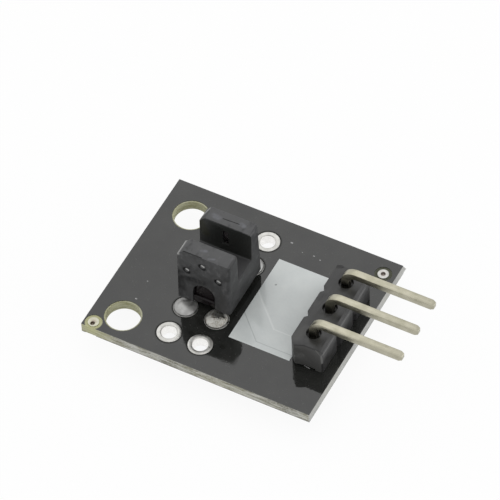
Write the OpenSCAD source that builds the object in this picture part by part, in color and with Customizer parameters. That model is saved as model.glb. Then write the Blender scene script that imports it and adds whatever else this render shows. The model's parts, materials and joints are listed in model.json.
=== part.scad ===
// Infrared slot sensor module: a small circuit board that carries a slotted optical switch
// and a three-pin right-angle header.
// X runs along the board towards the header's pins, Y towards the back, Z up.
// The origin is midway between the two mounting holes, on the board's underside.

/* [Board] */
// Length of the board, along X
board_l = 18.5; // [18:0.5:26]
// Width of the board, along Y
board_w = 15; // [14.5:0.5:20]
// Thickness of the bare laminate
laminate_t = 0.8; // [0.6:0.1:1.6]
// Thickness of the solder mask on each face
mask_t = 0.05; // [0.03:0.01:0.06]
// How far the snapped burr stands out at the back right corner
burr_w = 0.45; // [0.1:0.05:0.6]
// Length of the burr along the back edge
burr_l = 2.5; // [1:0.5:4]

/* [Mounting holes] */
// Radius of each mounting hole
hole_r = 1.3; // [1:0.05:1.5]
// Distance between the two holes, along Y
hole_pitch = 10.4; // [9.6:0.1:10.8]
// Distance from the board's left edge to the line of the holes
hole_edge = 2.4; // [2:0.1:2.8]
// How far the middle of the pair lies in front of the board's own middle
hole_shift = 0.35; // [0:0.05:0.5]
// Bare laminate between a mounting hole and the edge of the mask
hole_bare = 0.1; // [0.05:0.05:0.3]

/* [Plated holes] */
// Pitch of the header's pins and of the sensor's columns of holes
pitch = 2.54; // [2.5:0.01:2.6]
// Radius of each tinned ring
ring_r = 0.92; // [0.8:0.01:1]
// Height of a tinned ring above the laminate
ring_t = 0.07; // [0.06:0.01:0.1]
// Thickness of the plating on the wall of a hole
plating_t = 0.05; // [0.03:0.01:0.08]
// Radius of a spare hole, inside its plating
spare_bore_r = 0.58; // [0.4:0.02:0.64]
// Clearance in a plated hole round the corners of a pin
bore_gap = 0.13; // [0.08:0.005:0.15]
// Gap between a tinned ring and the edge of the mask
ring_gap = 0.03; // [0.01:0.01:0.06]

/* [Corner pads] */
// Radius of each corner pad
corner_pad_r = 0.42; // [0.3:0.01:0.46]
// Radius of the small hole in each corner pad
corner_bore_r = 0.17; // [0.1:0.01:0.2]
// Radius of the bare ring round each corner pad
corner_bare_r = 0.66; // [0.5:0.02:0.8]
// Distance of the front pad from the board's left edge
front_pad_x = 0.75; // [0.6:0.05:0.9]
// Distance of the front pad from the board's front edge
front_pad_y = 0.5; // [0.5:0.05:0.7]
// How far the front pad's hole was drilled towards the edge
front_pad_drift = 0.15; // [0:0.01:0.17]
// Distance of the back pad from the board's right edge
back_pad_x = 0.97; // [0.6:0.01:1.2]
// Distance of the back pad from the board's back edge
back_pad_y = 1.32; // [0.6:0.02:1.5]

/* [Printed panel] */
// Thickness of the printed ink
ink_t = 0.02; // [0.01:0.01:0.04]
// Distance from the middle of the sensor's holes to the panel's left edge
panel_start = 2.77; // [2.6:0.01:3]
// How far the panel reaches in front of the board's middle
panel_front = 3.88; // [3:0.02:5]
// How far the panel reaches behind the board's middle
panel_back = 4.07; // [3:0.01:5]
// Gap between the panel and the header's body
panel_gap = 0.05; // [0.02:0.01:0.5]

/* [Sensor housing] */
// Distance from the board's left edge to the middle of the sensor's holes
sensor_edge = 7.35; // [7:0.05:8]
// How far the sensor's holes lie in front of the board's middle
sensor_shift = 0.13; // [0:0.01:0.3]
// How far the sensor was soldered to the right of the middle of its holes
seat_x = 0.08; // [-0.1:0.01:0.1]
// How far the sensor was soldered behind the middle of its holes
seat_y = 0.13; // [-0.15:0.01:0.15]
// Height of the housing above the board
standoff = 0.5; // [0.5:0.05:1]
// Depth of the housing, along Y
housing_d = 5; // [4.8:0.1:5.2]
// Height of the housing
housing_h = 5.2; // [5:0.1:7]
// Width of the sensing slot
slot_w = 2; // [1.8:0.1:2.1]
// Depth of the sensing slot, from the top
slot_depth = 2.7; // [2.2:0.1:3]
// Radius in the bottom corners of the slot
slot_round = 0.12; // [0.05:0.01:0.3]
// Chamfer on the left top edges of the towers
chamfer = 0.5; // [0.3:0.05:0.7]
// Radius of the right-hand edges
edge_round = 0.25; // [0.1:0.05:0.4]
// Thickness of each tower's left and right walls
side_wall = 0.42; // [0.3:0.02:0.6]
// Thickness of each tower's outer wall
outer_wall = 0.25; // [0.2:0.01:0.3]
// Thickness of each tower's wall beside the slot
inner_wall = 0.2; // [0.15:0.01:0.25]
// Thickness of the housing over the packages
top_wall = 0.45; // [0.3:0.05:0.6]
// Width of each light slit
slit_w = 0.5; // [0.3:0.05:0.8]
// Height of each light slit
slit_h = 1.4; // [1:0.1:1.6]
// Radius of the round window in each outer wall
window_r = 0.88; // [0.7:0.02:0.9]
// Height of the window's centre above the housing's foot
window_z = 1.25; // [1.2:0.05:1.8]
// Radius of the three nubs on each outer face
nub_r = 0.2; // [0.1:0.01:0.24]
// How far each nub stands out
nub_h = 0.22; // [0.05:0.01:0.26]
// Height of the two lower nubs above the slot's floor
nub_low = 0.9; // [0.6:0.05:1]
// Height of the middle nub above the slot's floor
nub_high = 1.9; // [1.4:0.05:2]

/* [Packages and leads] */
// Resin beside each lead, in a package
package_side = 0.13; // [0.05:0.01:0.2]
// Clearance between a package and the sides of its pocket
package_gap = 0.03; // [0.02:0.01:0.05]
// Height of a package's underside above the housing's foot
package_z = 0.2; // [0.1:0.05:0.3]
// Height of the ledge that fills the foot of the window
ledge_h = 0.55; // [0.5:0.05:0.7]
// Distance between the two rows of leads, along Y
lead_row = 5.44; // [5.4:0.02:5.5]
// Width of each lead
lead_w = 0.5; // [0.4:0.05:0.6]
// Thickness of each lead
lead_t = 0.2; // [0.15:0.01:0.25]
// Height above the housing's foot at which a lead starts to bend outwards
lead_bend_z = 0.05; // [0:0.01:0.1]
// Bend radius of a lead, at the middle of its thickness
lead_bend_r = 0.18; // [0.15:0.01:0.25]
// Angle of the slanted stretch of a lead from the vertical
lead_bend_a = 60; // [55:1:65]
// How far up a lead reaches inside its package
lead_grip = 1.35; // [1:0.05:1.6]
// How far a lead's clipped end stands below the board
lead_tail = 1.3; // [1:0.1:1.6]

/* [Header] */
// Distance from the board's right edge to the row of pins
header_edge = 2.11; // [1.6:0.01:2.6]
// Number of pins
pins = 3; // [2:1:4]
// Width of the header's body, along X
body_w = 2.6; // [2.4:0.05:2.7]
// Height of the header's body
body_h = 2.5; // [2:0.1:3]
// Cut across each corner of the body's segments
segment_cut = 0.3; // [0.2:0.05:0.5]
// Cut across the outer corners at the body's two ends
end_cut = 0.13; // [0.05:0.01:0.3]
// How far the snapped web stands out at the body's front end
snap_out = 0.27; // [0.1:0.01:0.4]
// Distance of the snapped web's crest from the body's left side
snap_x = 0.48; // [0.35:0.01:0.6]
// Chamfer along the body's right top edge
body_chamfer = 0.2; // [0.1:0.05:0.4]
// Height of the body's feet, which stand on the tinned rings
foot_h = 0.15; // [0.05:0.05:0.3]
// Width of each foot, along X
foot_w = 0.6; // [0.4:0.05:0.8]
// Clearance in the recess round the corners of a pin
recess_gap = 0.17; // [0.1:0.005:0.3]
// Depth of the recess round each pin
recess_h = 0.45; // [0.2:0.05:0.8]
// Side of the square pins
pin_w = 0.55; // [0.5:0.01:0.64]
// Height of the pins' level run above the board, at its middle
pin_run_z = 3.85; // [3.6:0.05:5]
// Radius of the pins' bend, at the middle of the pin
pin_bend_r = 0.9; // [0.6:0.05:1]
// Distance from the row of pins to their tips
pin_reach = 7.1; // [5:0.1:9]
// Length of the taper at each end of a pin
tip_l = 0.25; // [0.2:0.05:0.6]
// How much the taper takes off each side
tip_cut = 0.08; // [0.05:0.01:0.2]
// How far a pin stands below the board
pin_tail = 1.5; // [1.2:0.1:2]

/* [Solder] */
// Height of the solder dome on top of each lead's ring
dome_h = 0.46; // [0.2:0.02:0.48]
// How far the solder stays inside the edge of its ring
dome_in = 0.02; // [0.01:0.01:0.1]
// Height of the solder cone under the board
cone_h = 0.95; // [0.6:0.05:1]
// Solder outside the corners of a pin at the cone's tip
cone_wall = 0.07; // [0.02:0.005:0.1]

/* [Resistors] */
// Length of each chip resistor, along X
chip_l = 2; // [1.6:0.1:2.2]
// Width of each chip resistor
chip_w = 1.25; // [0.8:0.05:1.4]
// Thickness of each chip's ceramic
chip_t = 0.42; // [0.3:0.02:0.5]
// Length of each metal end cap
cap_l = 0.38; // [0.3:0.02:0.5]
// Thickness of the end caps' metal
cap_t = 0.04; // [0.03:0.01:0.06]
// Thickness of the glaze between the end caps
glaze_t = 0.025; // [0.01:0.005:0.03]
// Length of each solder pad, along X
pad_l = 1.05; // [0.9:0.05:1.2]
// How far each pad's middle lies beyond the middle of its end cap
pad_out = 0.1; // [0:0.02:0.2]
// Distance between the two resistors, along Y
chip_row = 4.4; // [3:0.1:6]
// How far the resistors lie to the left of the middle of the panel
chip_shift = 0.6; // [0:0.1:0.8]
// Radius of the solder's hollow face at each end of a chip
fillet_r = 0.33; // [0.2:0.01:0.36]
// Thickness of the solder at both ends of that hollow face
fillet_t = 0.03; // [0.02:0.01:0.05]

/* [Hidden] */
$fn = 48;
far = 40;
eps = 0.01;
columns = [-1, 1];
corners = [[-1, -1], [1, -1], [-1, 1], [1, 1]];
count4 = [1:4];

// Sizes that follow the pins and the leads
pin_corner_r = pin_w / sqrt(2);
lead_bore_r = pin_corner_r + bore_gap;
recess_r = pin_corner_r + recess_gap;
cone_tip_r = pin_corner_r + cone_wall;
lead_span = pitch + lead_w;
package_w = lead_span + 2 * package_side;
pocket_w = package_w + 2 * package_gap;
housing_w = pocket_w + 2 * side_wall;

// Levels, from the underside up
laminate_z = mask_t;
laminate_top = laminate_z + laminate_t;
board_t = laminate_top + mask_t;
ring_top = laminate_top + ring_t;
ring_bottom = laminate_z - ring_t;

// Places on the board
left = -hole_edge;
right = left + board_l;
middle_y = hole_shift;
front = middle_y - board_w / 2;
back = middle_y + board_w / 2;
hole_at = [for (s = columns) [0, s * hole_pitch / 2]];
sensor_at = [left + sensor_edge, middle_y - sensor_shift];
lead_at = [for (c = corners) sensor_at + [c[0] * pitch / 2, c[1] * lead_row / 2]];
spare_at = [for (c = corners) sensor_at + [c[0] * pitch / 2, c[1] * (lead_row / 2 + pitch)]];
pin_x = right - header_edge;
pin_at = [for (i = [1:pins]) [pin_x, middle_y + (i - (pins + 1) / 2) * pitch]];
corner_at = [[left + front_pad_x, front + front_pad_y], [right - back_pad_x, back - back_pad_y]];
corner_drift = [[0, -front_pad_drift], [0, 0]];
body_left = pin_x - body_w / 2;
panel_left = sensor_at[0] + panel_start;
panel_right = body_left - panel_gap;
chip_x = (panel_left + panel_right) / 2 - chip_shift;
chip_at = [for (s = columns) [chip_x, middle_y + s * chip_row / 2]];

// Sensor sizes, measured from the housing's own middle and foot
seat = [sensor_at[0] + seat_x, sensor_at[1] + seat_y, board_t + standoff];
slot_floor = housing_h - slot_depth;
slit_z = slot_floor + slot_depth / 2;
pocket_outer = housing_d / 2 - outer_wall;
pocket_inner = slot_w / 2 + inner_wall;
pocket_top = housing_h - top_wall;
lead_in = pocket_outer - package_gap - lead_t;
lead_out = lead_row / 2;
lead_top = package_z + lead_grip;

// Stands a drawing made in X and Z upright, and gives it a thickness along Y
module along_y(thickness) {
    rotate([90, 0, 0])
        linear_extrude(thickness, center = true)
            children();
}

// Stands a drawing made in Y and Z upright, and gives it a thickness along X
module along_x(thickness) {
    rotate([90, 0, 90])
        linear_extrude(thickness, center = true)
            children();
}

// A quarter or less of a ring, from angle a0 to a1 round the origin
module ring_part(mid_r, thickness, a0, a1) {
    reach = 2 * (mid_r + thickness);
    intersection() {
        difference() {
            circle(mid_r + thickness / 2);
            circle(mid_r - thickness / 2);
        }
        polygon([
            [0, 0],
            reach * [cos(a0), sin(a0)],
            reach * [cos((a0 + a1) / 2), sin((a0 + a1) / 2)],
            reach * [cos(a1), sin(a1)]
        ]);
    }
}

// The board and what is printed or plated on it

module board_outline() {
    translate([left, front])
        square([board_l, board_w]);
}

module drill(at, r) {
    translate([at[0], at[1], -1])
        cylinder(h = board_t + 2, r = r);
}

module burr() {
    intersection() {
        translate([right - burr_l / 2, back, laminate_z])
            along_x(burr_l)
                polygon([[-eps, 0], [burr_w, 0], [-eps, laminate_t]]);
        linear_extrude(board_t)
            polygon([[right - burr_l, back - eps], [right, back - eps], [right, back + burr_w]]);
    }
}

module circuit_board() {
    color([0.72, 0.7, 0.58])
        difference() {
            union() {
                translate([0, 0, laminate_z])
                    linear_extrude(laminate_t)
                        board_outline();
                burr();
            }
            for (at = hole_at) drill(at, hole_r);
            for (at = lead_at) drill(at, lead_bore_r + plating_t);
            for (at = pin_at) drill(at, lead_bore_r + plating_t);
            for (at = spare_at) drill(at, spare_bore_r + plating_t);
            for (i = [0:1]) drill(corner_at[i] + corner_drift[i], corner_bore_r + plating_t);
        }
}

// Mask on one face, open round every hole and ring
module mask_sheet(z) {
    difference() {
        translate([0, 0, z])
            linear_extrude(mask_t)
                board_outline();
        for (at = hole_at) drill(at, hole_r + hole_bare);
        for (at = concat(lead_at, spare_at, pin_at)) drill(at, ring_r + ring_gap);
        for (at = corner_at) drill(at, corner_bare_r);
    }
}

module solder_mask_top() {
    color([0.1, 0.1, 0.1])
        mask_sheet(laminate_top);
}

module solder_mask_bottom() {
    color([0.1, 0.1, 0.1])
        difference() {
            mask_sheet(0);
            for (at = chip_at)
                for (s = columns)
                    translate([at[0] + s * pad_centre(), at[1], mask_t / 2])
                        cube([pad_l + 2 * ring_gap, chip_w + 4 * ring_gap, 1], center = true);
        }
}

module printed_panel() {
    color([0.75, 0.77, 0.76])
        translate([panel_left, middle_y - panel_front, board_t])
            cube([panel_right - panel_left, panel_front + panel_back, ink_t]);
}

// A tinned ring on each face, joined by the plating in the hole
module plated_hole(at, ring, bore, drift = [0, 0]) {
    color([0.85, 0.84, 0.78])
        difference() {
            union() {
                for (z = [ring_bottom, laminate_top])
                    translate([at[0], at[1], z])
                        cylinder(h = ring_t, r = ring);
                translate([at[0] + drift[0], at[1] + drift[1], ring_bottom])
                    cylinder(h = ring_top - ring_bottom, r = bore + plating_t);
            }
            drill(at + drift, bore);
        }
}

module spare_hole_plating(i) {
    plated_hole(spare_at[i - 1], ring_r, spare_bore_r);
}

module sensor_hole_plating(i) {
    plated_hole(lead_at[i - 1], ring_r, lead_bore_r);
}

module header_hole_plating(i) {
    plated_hole(pin_at[i - 1], ring_r, lead_bore_r);
}

module corner_pad(i) {
    plated_hole(corner_at[i - 1], corner_pad_r, corner_bore_r, corner_drift[i - 1]);
}

// The slot sensor, drawn round its own middle with its foot at zero

// Seen from above: crisp corners on the left, rounded ones on the right
module housing_plan() {
    flat = housing_w - edge_round;
    translate([-housing_w / 2, -housing_d / 2])
        square([flat, housing_d]);
    translate([-housing_w / 2, edge_round - housing_d / 2])
        square([housing_w, housing_d - 2 * edge_round]);
    for (s = columns)
        translate([housing_w / 2 - edge_round, s * (housing_d / 2 - edge_round)])
            circle(edge_round);
}

// Seen from the front: a chamfer at the top left, a rounded edge at the top right
module housing_front() {
    half = housing_w / 2;
    polygon([
        [-half, 0],
        [half, 0],
        [half, housing_h - edge_round],
        [half - edge_round, housing_h - edge_round],
        [half - edge_round, housing_h],
        [chamfer - half, housing_h],
        [-half, housing_h - chamfer]
    ]);
    translate([half - edge_round, housing_h - edge_round])
        circle(edge_round);
}

// The sensing slot, seen along X
module slot_section() {
    translate([-slot_w / 2, slot_floor + slot_round])
        square([slot_w, slot_depth]);
    translate([slot_round - slot_w / 2, slot_floor])
        square([slot_w - 2 * slot_round, slot_round + eps]);
    for (s = columns)
        translate([s * (slot_w / 2 - slot_round), slot_floor + slot_round])
            circle(slot_round);
}

// The pocket for one package, its light slit and its window, which is open at the foot
module tower_cuts() {
    translate([-pocket_w / 2, pocket_inner, -1])
        cube([pocket_w, pocket_outer - pocket_inner, pocket_top + 1]);
    translate([-slit_w / 2, 0, slit_z - slit_h / 2])
        cube([slit_w, pocket_inner + eps, slit_h]);
    translate([0, housing_d / 2, 0])
        along_y(2 * outer_wall + 2 * eps) {
            translate([0, window_z])
                circle(window_r);
            translate([-window_r, -1])
                square([2 * window_r, window_z + 1]);
        }
}

// Three short pegs with rounded ends on an outer face
module nubs() {
    ball_r = 1.3 * nub_r;
    low_z = slot_floor + nub_low;
    high_z = slot_floor + nub_high;
    for (at = [[-pitch / 2, low_z], [0, high_z], [pitch / 2, low_z]])
        intersection() {
            translate([at[0], housing_d / 2 + nub_h - ball_r, at[1]])
                sphere(ball_r);
            translate([at[0], housing_d / 2 - eps, at[1]])
                rotate([-90, 0, 0])
                    cylinder(h = nub_h + 2 * eps, r = nub_r);
        }
}

// Puts a thing drawn for the rear tower on the front tower (-1) or the rear one (1)
module on_side(s) {
    mirror([0, s < 0 ? 1 : 0, 0])
        children();
}

module sensor_housing() {
    color([0.16, 0.16, 0.16])
        translate(seat)
            union() {
                difference() {
                    intersection() {
                        linear_extrude(housing_h)
                            housing_plan();
                        along_y(housing_d + 2)
                            housing_front();
                    }
                    along_x(housing_w + 2)
                        slot_section();
                    for (s = columns)
                        on_side(s)
                            tower_cuts();
                }
                for (s = columns)
                    on_side(s)
                        nubs();
            }
}

// One lead seen along X: u is the distance out from the sensor's middle
module lead_section() {
    u0 = lead_in;
    drop = lead_out - u0;
    r = lead_bend_r;
    a = lead_bend_a;
    slant = (drop - 2 * r * (1 - cos(a))) / sin(a);
    start_z = lead_bend_z;
    p1 = [u0 + r * (1 - cos(a)), start_z - r * sin(a)];
    p2 = p1 + slant * [sin(a), -cos(a)];
    c2 = p2 - r * [cos(a), sin(a)];
    tail_z = -standoff - board_t - lead_tail;
    translate([u0 - lead_t / 2, start_z - eps])
        square([lead_t, lead_top - start_z + eps]);
    translate([u0 + r, start_z])
        ring_part(r, lead_t, 180, 180 + a);
    translate(p1)
        rotate(a - 90)
            translate([-eps, -lead_t / 2])
                square([slant + 2 * eps, lead_t]);
    translate(c2)
        ring_part(r, lead_t, 0, a);
    translate([lead_out - lead_t / 2, tail_z])
        square([lead_t, c2[1] - tail_z + eps]);
}

module sensor_lead(i) {
    c = corners[i - 1];
    color([0.8, 0.79, 0.76])
        translate(seat + [c[0] * pitch / 2, 0, 0])
            on_side(c[1])
                along_x(lead_w)
                    lead_section();
}

// A moulded package, up to the pocket's roof, with its lens towards the slot and a ledge
// in the foot of the window
module package_shape() {
    outer = pocket_outer - package_gap;
    lens_h = 0.22;
    inner = pocket_inner + package_gap + lens_h;
    lens_r = 0.62;
    ball_r = (lens_r * lens_r + lens_h * lens_h) / (2 * lens_h);
    ledge_w = 2 * (window_r - package_gap);
    ledge_out = housing_d / 2 - package_gap;
    ledge_round = 0.15;
    ledge_top = package_z + ledge_h;
    translate([-package_w / 2, inner, package_z])
        cube([package_w, outer - inner, pocket_top - package_z]);
    translate([-ledge_w / 2, outer - eps, package_z])
        cube([ledge_w, ledge_out - outer + eps, ledge_h - ledge_round]);
    translate([-ledge_w / 2, outer - eps, package_z])
        cube([ledge_w, ledge_out - outer - ledge_round + eps, ledge_h]);
    translate([0, ledge_out - ledge_round, ledge_top - ledge_round])
        rotate([0, 90, 0])
            cylinder(h = ledge_w, r = ledge_round, center = true);
    intersection() {
        translate([0, inner - lens_h + ball_r, slit_z])
            sphere(ball_r);
        translate([-lens_r, inner - lens_h, slit_z - lens_r])
            cube([2 * lens_r, lens_h + eps, 2 * lens_r]);
    }
}

// The package in one tower, cast round the tops of its two leads
module package(s) {
    translate(seat)
        on_side(s)
            difference() {
                package_shape();
                for (c = columns)
                    translate([c * pitch / 2, 0, 0])
                        along_x(lead_w)
                            lead_section();
            }
}

module emitter_package() {
    color([0.3, 0.22, 0.26])
        package(-1);
}

module detector_package() {
    color([0.1, 0.09, 0.1])
        package(1);
}

// Solder

// A rounded dome on top of a ring
module dome(r, h) {
    ball_r = (r * r + h * h) / (2 * h);
    rotate_extrude()
        intersection() {
            translate([0, h - ball_r])
                circle(ball_r);
            square([r, h]);
        }
}

// A hollow-sided cone that hangs under a ring
module cone(r, tip_r, h) {
    steps = 8;
    rotate_extrude()
        polygon(concat(
            [[0, 0]],
            [for (k = [0:steps]) [tip_r + (r - tip_r) * pow(1 - k / steps, 2), -h * k / steps]],
            [[0, -h]]
        ));
}

module joint(at, top_h) {
    r = ring_r - dome_in;
    translate([at[0], at[1], ring_bottom]) {
        cylinder(h = ring_top - ring_bottom, r = lead_bore_r);
        cone(r, cone_tip_r, cone_h);
    }
    if (top_h > 0)
        translate([at[0], at[1], ring_top])
            dome(r, top_h);
}

module sensor_solder(i) {
    c = corners[i - 1];
    color([0.75, 0.75, 0.74])
        difference() {
            joint(lead_at[i - 1], dome_h);
            translate(seat + [c[0] * pitch / 2, 0, 0])
                on_side(c[1])
                    along_x(lead_w)
                        lead_section();
        }
}

module header_solder(i) {
    at = pin_at[i - 1];
    color([0.75, 0.75, 0.74])
        difference() {
            joint(at, 0);
            translate([at[0], at[1], 0])
                cube([pin_w, pin_w, far], center = true);
        }
}

// The header

// One segment of the body, seen from above
module segment_plan() {
    a = body_w / 2;
    b = pitch / 2;
    c = segment_cut;
    polygon([
        [-a, c - b], [c - a, -b], [a - c, -b], [a, c - b],
        [a, b - c], [a - c, b], [c - a, b], [-a, b - c]
    ]);
}

// Fills the cut at one outer corner of an end segment down to the smaller end cut
module end_corner(sx, sy) {
    a = body_w / 2;
    b = pitch / 2;
    polygon([
        [sx * (a - segment_cut - eps), sy * (b - segment_cut - eps)],
        [sx * (a - segment_cut - eps), sy * b],
        [sx * (a - end_cut), sy * b],
        [sx * a, sy * (b - end_cut)],
        [sx * a, sy * (b - segment_cut - eps)]
    ]);
}

// What is left of the web where the strip was snapped off, ragged from top to bottom
module snapped_web() {
    root_y = -pitch / 2 + segment_cut / 2;
    levels = [0, 0.2, 0.45, 0.7, 1];
    crests = [[-0.02, 0.6], [0.05, 0.85], [-0.06, 0.75], [0, 1]];
    for (k = [0:3]) {
        x = -body_w / 2 + snap_x + crests[k][0];
        y = -pitch / 2 - snap_out * crests[k][1];
        low = foot_h + levels[k] * (body_h - foot_h);
        high = foot_h + levels[k + 1] * (body_h - foot_h);
        translate([0, 0, low])
            linear_extrude(high - low)
                polygon([
                    [-body_w / 2 + segment_cut / 2, root_y],
                    [x, y],
                    [x + 2.5 * snap_out, -pitch / 2],
                    [x + 2.5 * snap_out, root_y]
                ]);
    }
}

module header_body() {
    color([0.14, 0.14, 0.15])
        translate([0, 0, ring_top])
            difference() {
                union() {
                    for (at = pin_at)
                        translate(at)
                            linear_extrude(body_h)
                                segment_plan();
                    translate(pin_at[0]) {
                        linear_extrude(body_h)
                            end_corner(1, -1);
                        snapped_web();
                    }
                    translate(pin_at[pins - 1])
                        linear_extrude(body_h)
                            for (s = columns) end_corner(s, 1);
                }
                for (at = pin_at) {
                    translate([at[0], at[1], body_h - recess_h])
                        cylinder(h = recess_h + 1, r = recess_r);
                    translate([at[0], at[1], body_h / 2])
                        cube([pin_w, pin_w, far], center = true);
                }
                translate([pin_x, middle_y, 0])
                    along_y(far)
                        polygon([
                            [body_w / 2 - body_chamfer, body_h],
                            [body_w / 2, body_h - body_chamfer],
                            [body_w, body_h - body_chamfer],
                            [body_w, body_h + 1],
                            [body_w / 2 - body_chamfer, body_h + 1]
                        ]);
                translate([foot_w + body_left, middle_y - far / 2, -1])
                    cube([body_w - 2 * foot_w, far, foot_h + 1]);
            }
}

// What the taper takes off a pin whose tip is at the origin, pointing up
module taper() {
    half = pin_w / 2;
    for (turn = [0:90:270])
        rotate([0, 0, turn])
            along_y(2 * pin_w)
                polygon([
                    [half - tip_cut, 0],
                    [half, -tip_l],
                    [pin_w, -tip_l],
                    [pin_w, tip_l],
                    [half - tip_cut, tip_l]
                ]);
}

// A square pin: up through the board and the body, then level out over the edge
module header_pin(i) {
    run_z = board_t + pin_run_z;
    color([0.82, 0.78, 0.66])
        translate(pin_at[i - 1])
            difference() {
                along_y(pin_w) {
                    translate([-pin_w / 2, -pin_tail])
                        square([pin_w, pin_tail + run_z - pin_bend_r]);
                    translate([pin_bend_r, run_z - pin_bend_r])
                        ring_part(pin_bend_r, pin_w, 90, 180);
                    translate([pin_bend_r, run_z - pin_w / 2])
                        square([pin_reach - pin_bend_r, pin_w]);
                }
                translate([pin_reach, 0, run_z])
                    rotate([0, 90, 0])
                        taper();
                translate([0, 0, -pin_tail])
                    rotate([180, 0, 0])
                        taper();
            }
}

// The chip resistors under the board, drawn hanging down from the underside

function pad_centre() = chip_l / 2 + cap_t - cap_l / 2 + pad_out;

module under(i) {
    translate([chip_at[i - 1][0], chip_at[i - 1][1], ring_bottom])
        mirror([0, 0, 1])
            children();
}

module resistor_pads(i) {
    color([0.85, 0.84, 0.78])
        under(i)
            for (s = columns)
                translate([s * pad_centre(), 0, -ring_t / 2])
                    cube([pad_l, chip_w + 2 * ring_gap, ring_t], center = true);
}

module resistor_core(i) {
    color([0.93, 0.93, 0.9])
        under(i)
            translate([0, 0, cap_t + chip_t / 2])
                cube([chip_l, chip_w, chip_t], center = true);
}

module resistor_glaze(i) {
    color([0.07, 0.07, 0.08])
        under(i)
            translate([0, 0, cap_t + chip_t + glaze_t / 2])
                cube([chip_l - 2 * cap_l, chip_w, glaze_t], center = true);
}

module resistor_caps(i) {
    color([0.8, 0.8, 0.79])
        under(i)
            for (s = columns)
                difference() {
                    translate([s * (chip_l / 2 + cap_t - cap_l / 2), 0, cap_t + chip_t / 2])
                        cube([cap_l, chip_w, chip_t + 2 * cap_t], center = true);
                    translate([0, 0, cap_t + chip_t / 2])
                        cube([chip_l, chip_w + 1, chip_t], center = true);
                }
}

// A fillet with a hollow face at each end of the chip
module resistor_solder(i) {
    end = chip_l / 2 + cap_t;
    side = fillet_r + fillet_t;
    color([0.75, 0.75, 0.74])
        under(i)
            for (s = columns)
                mirror([s < 0 ? 1 : 0, 0, 0])
                    translate([end, 0, 0])
                        along_y(chip_w)
                            difference() {
                                square(side);
                                translate([side, side])
                                    circle(fillet_r);
                            }
}

circuit_board();
solder_mask_top();
solder_mask_bottom();
printed_panel();
for (i = count4)
    spare_hole_plating(i);
for (i = count4)
    sensor_hole_plating(i);
for (i = [1:pins])
    header_hole_plating(i);
for (i = [1:2])
    corner_pad(i);
sensor_housing();
emitter_package();
detector_package();
for (i = count4)
    sensor_lead(i);
for (i = count4)
    sensor_solder(i);
header_body();
for (i = [1:pins])
    header_pin(i);
for (i = [1:pins])
    header_solder(i);
for (i = [1:2])
    resistor_pads(i);
for (i = [1:2])
    resistor_core(i);
for (i = [1:2])
    resistor_glaze(i);
for (i = [1:2])
    resistor_caps(i);
for (i = [1:2])
    resistor_solder(i);
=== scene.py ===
# %% [markdown]
# # Infrared slot sensor module
# A small black circuit board carries a slotted optical switch and a three-pin header. The solids come
# from the CAD model, which fixes every size. In Blender each piece gets what the eye looks for in a
# close-up: edges that catch the light, solder that has flowed, and surfaces with grain, haze and dust.

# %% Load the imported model
import bpy
import json
from math import asin, cos, pi, radians, sin
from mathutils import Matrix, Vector


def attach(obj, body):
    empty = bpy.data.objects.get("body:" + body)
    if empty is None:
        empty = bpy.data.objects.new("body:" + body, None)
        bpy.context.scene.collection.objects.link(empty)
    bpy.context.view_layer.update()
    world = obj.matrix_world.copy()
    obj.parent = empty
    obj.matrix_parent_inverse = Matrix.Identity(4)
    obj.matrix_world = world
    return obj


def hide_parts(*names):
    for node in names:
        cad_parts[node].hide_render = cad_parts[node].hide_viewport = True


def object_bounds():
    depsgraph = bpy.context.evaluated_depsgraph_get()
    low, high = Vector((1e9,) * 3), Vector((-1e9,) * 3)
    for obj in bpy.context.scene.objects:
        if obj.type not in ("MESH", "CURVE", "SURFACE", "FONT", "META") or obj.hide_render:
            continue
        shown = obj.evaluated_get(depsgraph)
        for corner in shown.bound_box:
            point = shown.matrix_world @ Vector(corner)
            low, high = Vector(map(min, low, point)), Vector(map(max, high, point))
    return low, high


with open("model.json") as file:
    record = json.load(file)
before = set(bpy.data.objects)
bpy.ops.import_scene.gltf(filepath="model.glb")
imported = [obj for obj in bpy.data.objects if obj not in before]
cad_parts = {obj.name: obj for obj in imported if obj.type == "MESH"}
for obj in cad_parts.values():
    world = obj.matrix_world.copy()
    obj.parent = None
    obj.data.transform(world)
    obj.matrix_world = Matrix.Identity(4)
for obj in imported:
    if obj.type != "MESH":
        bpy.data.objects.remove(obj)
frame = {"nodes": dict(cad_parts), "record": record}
cad_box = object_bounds()
MM = 0.001
ROOT = "root"
print("nodes:", len(frame["nodes"]))
print("box in mm:", [round(v / MM, 2) for v in cad_box[1] - cad_box[0]])

# %% [markdown]
# ## Places on the board
# Finishes and pieces need the same places, so each is written once. All are in millimetres from the
# point midway between the two mounting holes, on the board's underside: +X runs along the board to the
# header, +Y to its back edge and +Z up. The sensor stands on two pairs of holes, with a second, wider
# set beside it that stays empty, and the header's three pins stand 2.54 mm apart.

# %% Places on the board
MOUNTING_HOLES = ((0, -5.2), (0, 5.2))
FRONT_PAD = (-1.65, -6.65)
REAR_PAD = (15.13, 6.53)
SENSOR_X = (3.68, 6.22)
SPARE_PLACES = [(x, y) for y in (-5.04, 5.48) for x in SENSOR_X]
LEAD_PLACES = [(x, y) for y in (-2.5, 2.94) for x in SENSOR_X]
PIN_PLACES = [(13.99, y) for y in (-2.19, 0.35, 2.89)]
LAMINATE_FACES = (0.05, 0.85)
FILM_TOP = 0.9
print("plated holes:", len(SPARE_PLACES + LEAD_PLACES + PIN_PLACES))

# %% [markdown]
# ## The picture's stage
# The module is shown on white, seen from high up and a little to the right, with a long lens, so that
# parallel edges stay nearly parallel. The camera's place and turn were solved from the corners of the
# board. The floor sits right under the lowest pin, so the module really stands on it.

# %% Camera
LENS = 310.6
SENSOR_WIDTH = 36
CAMERA_AT = (103.286, -165.852, 247.411)
CAMERA_TURN = (38.485, 1.789, 27.672)

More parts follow.
